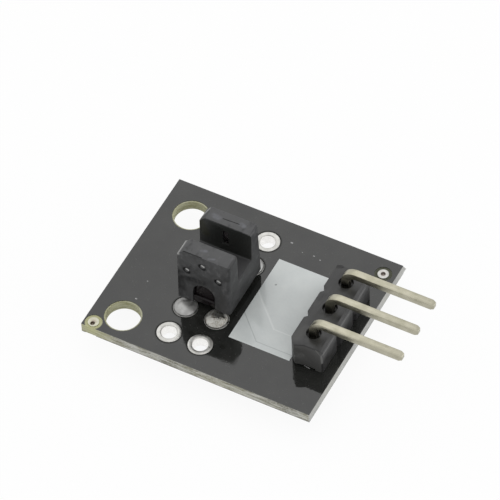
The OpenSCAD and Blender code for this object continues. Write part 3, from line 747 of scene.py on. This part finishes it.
# %% All finishes, by the record's slot
FINISHES = {
    "laminate": make_laminate(),
    "solder_mask": make_black_film(),
    "white_ink": make_printed_ink(),
    # The tin's bright walls are a painted highlight for the white floor that its bores mirror.
    "tin_plating": make_metal("tin", (0.57, 0.565, 0.54), (0.46, 0.455, 0.43), 0.33, 5.0, 0.006,
                              walls=(0.98, 0.97, 0.95),
                              zones=[(OLD_TIN, (0.5, 0.49, 0.39)), (VIAS, (0.3, 0.25, 0.21))]),
    "housing_plastic": make_moulding("black_moulding", (0.026, 0.0265, 0.027), (0.078, 0.0785, 0.08),
                                     0.5, 0.005, (0, 0, 0), level=0.32, lines=HAIRLINES,
                                     zones=HOUSING_ZONES, shaded=NUB_SHADES),
    "emitter_resin": make_resin("emitter_resin", (0.008, 0.006, 0.0065), (1, 2, 3), level=0.15),
    "detector_resin": make_resin("detector_resin", (0.07, 0.062, 0.064), (3, 2, 1)),
    "lead_metal": make_metal("tinned_lead", (0.4, 0.4, 0.39), (0.28, 0.28, 0.27), 0.35, 6.0, 0.004,
                             stretch=(3, 3, 0.3)),
    "solder": make_metal("smooth_solder", (0.48, 0.48, 0.47), (0.36, 0.36, 0.35), 0.5, 3.0, 0.01),
    "header_plastic": make_moulding("header_moulding", (0.012, 0.012, 0.0125), (0.028, 0.028, 0.0275),
                                    0.38, 0.004, (5, 1, 2), lines=CHIPPED, zones=HEADER_ZONES),
    # The pins' darker feet are painted shade under the header.
    "pin_metal": make_metal("pale_gold_flash", (0.46, 0.44, 0.35), (0.38, 0.365, 0.28), 0.33, 6.0,
                            0.0006, stretch=(0.12, 1, 0.5), zones=[(PIN_FEET_SHADE, (0.13, 0.125, 0.1))]),
    "chip_ceramic": make_moulding("white_ceramic", (0.72, 0.72, 0.68), (0.8, 0.8, 0.77),
                                  0.6, 0.004, (8, 8, 8)),
    "chip_glaze": make_resin("black_glaze", (0.02, 0.02, 0.022), (4, 0, 4)),
}
FROSTY = make_frosty_solder()
SLOT_OF = {s["node"]: s["material_slot"] for s in frame["record"]["subparts"]}
for name, node in frame["nodes"].items():
    node.data.materials.clear()
    node.data.materials.append(FINISHES[SLOT_OF[name]])
print("finishes:", ", ".join(m.name for m in FINISHES.values()))

# %% [markdown]
# ## From a piece to the model
# Each new piece rides on the root body, since nothing in the module moves. It gets the finish of its
# slot and stands for its CAD node, so the node itself no longer shows.

# %% Put a piece in its node's place


def finish_piece(piece, *nodes, material=None):
    """Puts a new piece on the root body, in place of its CAD nodes."""
    slot = SLOT_OF[nodes[0]]
    piece.data.materials.clear()
    piece.data.materials.append(material or FINISHES[slot])
    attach(piece, ROOT)
    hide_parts(*nodes)
    return piece


# %% [markdown]
# ## Softened pieces
# A CAD solid has edges as sharp as a knife, and a real one never does: a moulded or cut edge is a tiny
# round that catches a line of light. A small bevel rounds every edge that turns by more than 32 degrees;
# flatter edges belong to curved faces and are only shaded smooth.

# %% Round the edges
SHARP = radians(32)


def apply_modifier(piece, modifier):
    bpy.context.view_layer.objects.active = piece
    bpy.ops.object.modifier_apply(modifier=modifier.name)


def round_edges(piece, edge_mm):
    """Rounds every edge that turns by more than the sharp angle."""
    rounding = piece.modifiers.new("rounding", "BEVEL")
    rounding.width = edge_mm * MM
    rounding.segments = 2
    rounding.limit_method = "ANGLE"
    rounding.angle_limit = SHARP
    rounding.miter_outer = "MITER_ARC"
    apply_modifier(piece, rounding)
    bpy.ops.object.shade_smooth_by_angle(angle=SHARP)


# %% [markdown]
# A wall gets its draft by turning. Its points are the ones that lie between two depths, and they turn
# about a level line through the wall's foot, so the foot stays where it is.

# %% Turn a wall


def turn_wall(piece, y_from, y_to, foot, angle):
    """Turns the points between two depths about a level line at the foot, given as (y, z)."""
    bpy.ops.mesh.select_mode(type="VERT")
    bpy.ops.mesh.select_all(action="DESELECT")
    bpy.ops.object.mode_set(mode="OBJECT")
    for point in piece.data.vertices:
        point.select = y_from < point.co.y / MM < y_to
    bpy.ops.object.mode_set(mode="EDIT")
    centre = (0, foot[0] * MM, foot[1] * MM)
    bpy.ops.transform.rotate(value=angle, orient_axis="X", center_override=centre)


# %% [markdown]
# The shapes are already exact, so each one is copied, its loose triangles are merged, flat areas become
# single faces, and then the edges are rounded. The copy stands for the node.

# %% Soften a copy of a node
MERGE = 1e-6
FLAT = radians(0.3)


def softened(node, edge_mm, walls=()):
    """A copy of a CAD node, its walls turned if need be, with every sharp edge rounded."""
    deselect_all()
    piece = bpy.data.objects.new("soft_" + node, frame["nodes"][node].data.copy())
    bpy.context.scene.collection.objects.link(piece)
    piece.select_set(True)
    bpy.context.view_layer.objects.active = piece
    bpy.ops.object.mode_set(mode="EDIT")
    bpy.ops.mesh.select_all(action="SELECT")
    bpy.ops.mesh.remove_doubles(threshold=MERGE)
    bpy.ops.mesh.dissolve_limited(angle_limit=FLAT)
    for wall in walls:
        turn_wall(piece, *wall)
    bpy.ops.object.mode_set(mode="OBJECT")
    round_edges(piece, edge_mm)
    return finish_piece(piece, node)


# %% [markdown]
# A moulded edge is rounder than the edge of a tin pad, so each piece has its own. The housing's three
# high walls also get their draft here: the front, the rear and the rear wall of the slot each turn
# inwards, which leaves the towers thinner at the top, as they are in the photo. A wall is given by the
# two depths that its points lie between, its foot and its angle.

# %% Which pieces, and how round their edges are
SOFT_EDGES = {"sensor_housing": 0.035, "header_body": 0.04,
              "emitter_package": 0.05, "detector_package": 0.05}
SOFT_EDGES |= {f"header_pin_{i}": 0.03 for i in (1, 2, 3)}
SOFT_EDGES |= {f"sensor_lead_{i}": 0.03 for i in (1, 2, 3, 4)}
for i in (1, 2):
    SOFT_EDGES |= {f"corner_pad_{i}": 0.012, f"resistor_core_{i}": 0.02,
                   f"resistor_glaze_{i}": 0.01, f"resistor_caps_{i}": 0.015,
                   f"resistor_pads_{i}": 0.01}
WALLS = {"sensor_housing": [
    (-3, -1.89, (FRONT_FACE, DRAFT_FROM), DRAFT),
    (2.59, 4, (REAR_FACE, DRAFT_FROM), -DRAFT),
    (1.3, 1.4, (1.35, 3.9), DRAFT),
]}
for node, edge in SOFT_EDGES.items():
    piece = softened(node, edge, WALLS.get(node, ()))
    print(piece.name, "faces:", len(piece.data.polygons))

# %% [markdown]
# ## Round pieces, drawn up ring by ring
# A tinned hole and a solder joint are both round, like turned work. Spinning a section would do; here a
# circle of edges is extruded step by step instead, and each new ring is moved and resized to the next
# point of the section. That is how one would do it by hand, and it leaves clean rings of four-sided
# faces. A tube's two ends are bridged into one loop, and a solid's two ends are capped.

# %% Rings


def rings(name, at, section, sides, closed=True):
    """A circle extruded through a section of (radius, height) points, in millimetres."""
    deselect_all()
    radius, height = section[0]
    place = [v * MM for v in (*at, height)]
    bpy.ops.mesh.primitive_circle_add(vertices=sides, radius=radius * MM, location=place)
    piece = bpy.context.object
    piece.name = name
    bpy.ops.object.transform_apply()
    bpy.ops.object.mode_set(mode="EDIT")
    bpy.ops.mesh.select_all(action="SELECT")
    for next_radius, next_height in section[1:]:
        step = (0, 0, (next_height - height) * MM)
        bpy.ops.mesh.extrude_edges_move(TRANSFORM_OT_translate={"value": step})
        wider = next_radius / radius
        centre = [v * MM for v in (*at, next_height)]
        bpy.ops.transform.resize(value=(wider, wider, 1), center_override=centre)
        radius, height = next_radius, next_height
    bpy.ops.mesh.select_all(action="DESELECT")
    bpy.ops.mesh.select_non_manifold()
    if closed:
        bpy.ops.mesh.bridge_edge_loops()
    else:
        bpy.ops.mesh.edge_face_add()
    bpy.ops.mesh.select_all(action="SELECT")
    bpy.ops.mesh.normals_make_consistent(inside=False)
    bpy.ops.object.mode_set(mode="OBJECT")
    bpy.ops.object.shade_smooth()
    return piece


# %% [markdown]
# What repeats is made once and copied to its other places. Each copy has a mesh of its own, because the
# solder joints get different bumps later.

# %% Copies


def copied(piece, name, shift_mm):
    """A copy with its own mesh, moved by so many millimetres."""
    deselect_all()
    piece.select_set(True)
    bpy.context.view_layer.objects.active = piece
    bpy.ops.object.duplicate()
    twin = bpy.context.object
    twin.name = name
    twin.location = Vector(shift_mm) * MM
    bpy.ops.object.transform_apply()
    return twin


def rings_at(places, name, section, sides, closed=True):
    """A round piece at the first place and a copy at each of the others, numbered from 1."""
    pieces = [rings(f"{name}_1", places[0], section, sides, closed)]
    for i, at in enumerate(places[1:], 2):
        shift = (at[0] - places[0][0], at[1] - places[0][1], 0)
        pieces.append(copied(pieces[0], f"{name}_{i}", shift))
    return pieces


# %% [markdown]
# ### Tinned holes
# A plated hole is a thin sleeve of copper with a flat ring on each face, dipped in molten tin. The tin
# is never flat: it swells a little in the middle of the ring, thins out to its rim, and rolls over into
# the bore with a soft lip. That lip gives each ring its bright inner line.

# %% Tinned holes
RING_R = 0.92
PLATING = 0.05
SPARE_BORE = 0.58
PIN_BORE = 0.519
HOLE_SIDES = 56


def tinned_section(bore):
    """The section of a plated hole, from the rim's foot over the top and down the bore."""
    face = [(RING_R, 0.0), (RING_R, 0.045), (RING_R - 0.015, 0.062), (RING_R - 0.05, 0.068),
            ((RING_R + bore) / 2, 0.071),
            (bore + 0.06, 0.067), (bore + 0.02, 0.055), (bore + 0.003, 0.03), (bore, -0.02)]
    bottom, top = LAMINATE_FACES
    upper = [(r, top + z) for r, z in face]
    lower = [(r, bottom - z) for r, z in reversed(face)]
    return upper + lower + [(bore + PLATING, bottom), (bore + PLATING, top)]


for name, bore, places in (("spare", SPARE_BORE, SPARE_PLACES), ("sensor", PIN_BORE, LEAD_PLACES),
                           ("header", PIN_BORE, PIN_PLACES)):
    holes = rings_at(places, f"tinned_{name}_hole", tinned_section(bore), HOLE_SIDES)
    for i, piece in enumerate(holes, 1):
        finish_piece(piece, f"{name}_hole_plating_{i}")
    print(name, "holes:", len(holes), "faces each:", len(holes[0].data.polygons))

# %% [markdown]
# ### Solder joints
# Under the board the solder climbs each wire in a hollow-sided cone. It fills the plated hole, and at
# the sensor it has come through and stands on top as a dome, where each lead dips into it. Molten metal
# pulls itself round, so the section is smooth; a slight unevenness, different at each joint, comes from
# a Displace modifier with a cloud texture.

# %% The section of a joint
RING_TOP = 0.92
RING_BOTTOM = -0.02
DOME_R = 0.9
DOME_H = 0.46
CONE_H = 0.95
CONE_TIP = 0.459
STEPS = 8
ball = (DOME_R ** 2 + DOME_H ** 2) / (2 * DOME_H)
reach = asin(DOME_R / ball)

cone = [(CONE_TIP + (DOME_R - CONE_TIP) * (k / STEPS) ** 2, RING_BOTTOM - CONE_H * (1 - k / STEPS))
        for k in range(STEPS + 1)]
shaft = [(PIN_BORE, RING_BOTTOM), (PIN_BORE, RING_TOP)]
dome = [(ball * sin(reach * k / STEPS), RING_TOP + DOME_H - ball * (1 - cos(reach * k / STEPS)))
        for k in range(STEPS, 0, -1)]
print("points in the section:", len(cone + shaft + dome))

# %% [markdown]
# One of the sensor's joints, the one on the right at the front, froze coarse. It is more uneven than the
# others and gets the frosty finish.

# %% Solder joints
JOINT_SIDES = 48
FROSTY_JOINT = 2
UNEVEN_MM = 0.03
COARSE_MM = 0.05
clouds = bpy.data.textures.new("flow", "CLOUDS")
clouds.noise_scale = 0.0006


def flowed(piece, height_mm):
    """Makes a turned joint uneven, as metal that froze while it flowed."""
    uneven = piece.modifiers.new("uneven", "DISPLACE")
    uneven.texture = clouds
    uneven.texture_coords = "LOCAL"
    uneven.strength = height_mm * MM
    uneven.mid_level = 0.5
    apply_modifier(piece, uneven)
    bpy.ops.object.shade_smooth()


joints = rings_at(LEAD_PLACES, "solder_joint", cone + shaft + dome, JOINT_SIDES, closed=False)
for i, piece in enumerate(joints, 1):
    frosty = i == FROSTY_JOINT
    flowed(piece, COARSE_MM if frosty else UNEVEN_MM)
    finish_piece(piece, f"sensor_solder_{i}", material=FROSTY if frosty else None)
feet = rings_at(PIN_PLACES, "header_joint", cone + shaft, JOINT_SIDES, closed=False)
for i, piece in enumerate(feet, 1):
    flowed(piece, UNEVEN_MM)
    finish_piece(piece, f"header_solder_{i}")
print("sensor joints:", len(joints), "faces each:", len(joints[0].data.polygons))
print("header joints:", len(feet), "faces each:", len(feet[0].data.polygons))

# %% [markdown]
# ## The printed panel
# Copper tracks run under the ink, and the ink follows them: a band about 0.015 mm high crosses the panel
# aslant and leaves it on the right. A box as large as the panel is cut along the band's edges with
# bisect, so that the band has faces of its own.

# %% Panel, cut along the band's edges
deselect_all()
low, high = (Vector(p) * MM for p in PANEL)
bpy.ops.mesh.primitive_cube_add(size=1, location=(low + high) / 2, scale=high - low)
panel = bpy.context.object
panel.name = "printed_rectangle"
bpy.ops.object.transform_apply()
bpy.ops.object.mode_set(mode="EDIT")
for total in BAND_ASLANT:
    bpy.ops.mesh.select_all(action="SELECT")
    bpy.ops.mesh.bisect(plane_co=(total * MM, 0, 0), plane_no=(1, 1, 0))
for y in BAND_LEVEL:
    bpy.ops.mesh.select_all(action="SELECT")
    bpy.ops.mesh.bisect(plane_co=(0, y * MM, 0), plane_no=(0, 1, 0))
bpy.ops.mesh.select_all(action="DESELECT")
bpy.ops.object.mode_set(mode="OBJECT")
print("faces after the cuts:", len(panel.data.polygons))

# %% [markdown]
# The faces of the band are picked by their place, inset, and lifted, which leaves a gentle slope all
# round.

# %% Band, raised under the ink
BAND_SLOPE = 0.06
BAND_RISE = 0.015
PANEL_EDGE = 0.008

for face in panel.data.polygons:
    x, y = face.center.x / MM, face.center.y / MM
    aslant = BAND_ASLANT[0] < x + y < BAND_ASLANT[1] and y > BAND_LEVEL[1]
    straight = x + y > BAND_ASLANT[0] and BAND_LEVEL[0] < y < BAND_LEVEL[1]
    face.select = face.normal.z > 0.9 and (aslant or straight)
print("faces in the band:", sum(face.select for face in panel.data.polygons))
bpy.ops.object.mode_set(mode="EDIT")
bpy.ops.mesh.select_mode(type="FACE")
bpy.ops.mesh.inset(thickness=BAND_SLOPE * MM)
bpy.ops.transform.translate(value=(0, 0, BAND_RISE * MM))
bpy.ops.object.mode_set(mode="OBJECT")
round_edges(panel, PANEL_EDGE)
finish_piece(panel, "printed_panel")
